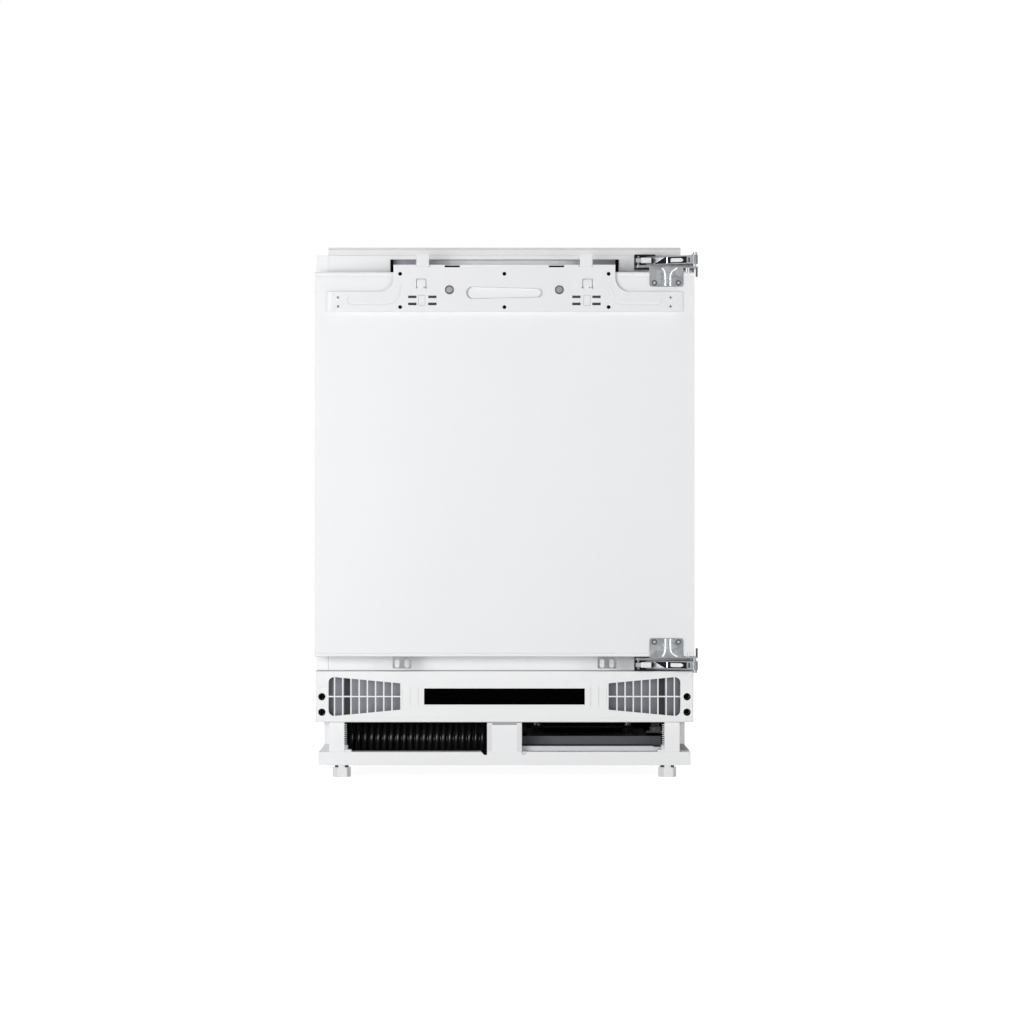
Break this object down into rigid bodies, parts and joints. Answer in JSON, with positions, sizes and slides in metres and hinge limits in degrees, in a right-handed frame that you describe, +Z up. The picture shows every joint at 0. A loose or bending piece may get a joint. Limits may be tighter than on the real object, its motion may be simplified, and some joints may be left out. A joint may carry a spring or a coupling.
{
  "type": "built-under refrigerator",
  "caption": "Integrated larder refrigerator for a kitchen niche, with a panel bracket on its hinged door, a vent grille, an open base and screw feet.",
  "frame": {"origin": "centre of the bounding box in plan, on the floor under the feet", "axes": "+Z up, the door faces -Y, the hinges are on the +X side"},
  "size_m": [0.6008, 0.556, 0.836],
  "materials": {
    "white_enamel": "smooth satin stove enamel",
    "zinc_steel": "bright zinc plate",
    "galvanised": "dull galvanised sheet",
    "white_plastic": "fine matt moulding",
    "liner_white": "glossy vacuum-formed sheet",
    "black_plastic": "matt moulding",
    "black_enamel": "semi-gloss black enamel",
    "foam": "rigid foam",
    "shelf_glass": "clear tempered",
    "clear_plastic": "clear moulding",
    "frosted_plastic": "frosted moulding",
    "seal_rubber": "soft light grey",
    "black_rubber": "matt",
    "copper": "drawn tube",
    "aluminium": "mill finish",
    "foot_grey": "plain moulding"
  },
  "bodies": {
    "cabinet": {"left_side_panel": "white_enamel", "right_side_panel": "white_enamel", "bottom_panel": "galvanised", "top_panel": "white_enamel", "back_panel": "white_enamel", "cabinet_foam": "foam", "inner_liner": "liner_white", "evaporator_plate": "aluminium", "top_front_trim": "white_plastic", "bottom_front_trim": "white_plastic", "worktop_strip": "white_enamel", "glass_shelves": "shelf_glass", "shelf_trims": "white_plastic", "control_housing": "white_plastic", "lamp_lens": "frosted_plastic", "hinge_bases": "zinc_steel", "cabinet_screws": "zinc_steel", "vent_grille": "white_plastic", "vent_window": "black_plastic", "air_shield": "galvanised", "compartment_cover": "black_plastic", "base_front_frame": "white_enamel", "base_rail_right": "white_enamel", "base_rail_left": "white_enamel", "base_rear_bar": "galvanised", "cord_gland": "black_plastic", "foot_nuts": "white_plastic", "condenser_coil": "black_enamel", "condenser_tray": "black_plastic", "fan_shroud": "black_plastic", "fan_motor": "black_plastic", "compressor_plate": "galvanised", "compressor": "black_enamel", "compressor_mounts": "black_rubber", "relay_box": "black_plastic", "drip_tray": "black_plastic", "refrigerant_pipes": "copper"},
    "door": {"door_skin": "white_enamel", "door_top_cap": "white_plastic", "door_bottom_cap": "white_plastic", "door_liner": "liner_white", "door_foam": "foam", "door_gasket": "seal_rubber", "bottle_bin": "clear_plastic", "middle_bin": "clear_plastic", "upper_bin": "clear_plastic", "panel_bracket": "white_enamel", "panel_hangers": "white_enamel", "lower_panel_clips": "zinc_steel", "hinge_door_plates": "zinc_steel", "door_screws": "zinc_steel"},
    "hinge_arms": {"hinge_arms": "zinc_steel"},
    "hinge_links": {"hinge_guide_links": "zinc_steel"},
    "crisper": {"crisper_drawer": "clear_plastic"},
    "knob": {"thermostat_knob": "white_plastic"},
    "fan": {"fan_rotor": "black_plastic"},
    "front_left_leg": {"front_left_foot": "foot_grey"},
    "front_right_leg": {"front_right_foot": "foot_grey"},
    "rear_left_leg": {"rear_left_foot": "foot_grey"},
    "rear_right_leg": {"rear_right_foot": "foot_grey"}
  },
  "joints": [
    {"name": "hinge_arm_turn", "type": "hinge", "parent": "cabinet", "child": "hinge_arms", "pos_m": [0.2226, -0.225, 0.4925], "axis": [0, 0, 1], "range_deg": [-20.5, 0.5]},
    {"name": "guide_link_turn", "type": "hinge", "parent": "cabinet", "child": "hinge_links", "pos_m": [0.2076, -0.236, 0.4925], "axis": [0, 0, 1], "range_deg": [-48.5, 0.5]},
    {"name": "door_swing", "type": "hinge", "parent": "hinge_arms", "child": "door", "pos_m": [0.2951, -0.2605, 0.4925], "axis": [0, 0, 1], "range_deg": [0, 120]},
    {"name": "crisper_slide", "type": "slide", "parent": "cabinet", "child": "crisper", "axis": [0, -1, 0], "range_m": [0, 0.02]},
    {"name": "thermostat_turn", "type": "hinge", "parent": "cabinet", "child": "knob", "pos_m": [0.0571, -0.07, 0.754], "axis": [0, -1, 0], "range_deg": [0, 300]},
    {"name": "fan_spin", "type": "hinge", "parent": "cabinet", "child": "fan", "pos_m": [-0.0029, -0.138, 0.071], "axis": [1, 0, 0], "continuous": true},
    {"name": "front_left_leg_screw", "type": "slide", "parent": "cabinet", "child": "front_left_leg", "axis": [0, 0, -1], "range_m": [0, 0.036]},
    {"name": "front_right_leg_screw", "type": "slide", "parent": "cabinet", "child": "front_right_leg", "axis": [0, 0, -1], "range_m": [0, 0.036]},
    {"name": "rear_left_leg_screw", "type": "slide", "parent": "cabinet", "child": "rear_left_leg", "axis": [0, 0, -1], "range_m": [0, 0.036]},
    {"name": "rear_right_leg_screw", "type": "slide", "parent": "cabinet", "child": "rear_right_leg", "axis": [0, 0, -1], "range_m": [0, 0.036]}
  ],
  "couplings": [
    {"joint": "hinge_arm_turn", "follows": "door_swing", "ratio": -0.16667},
    {"joint": "guide_link_turn", "follows": "door_swing", "ratio": -0.39667}
  ]
}
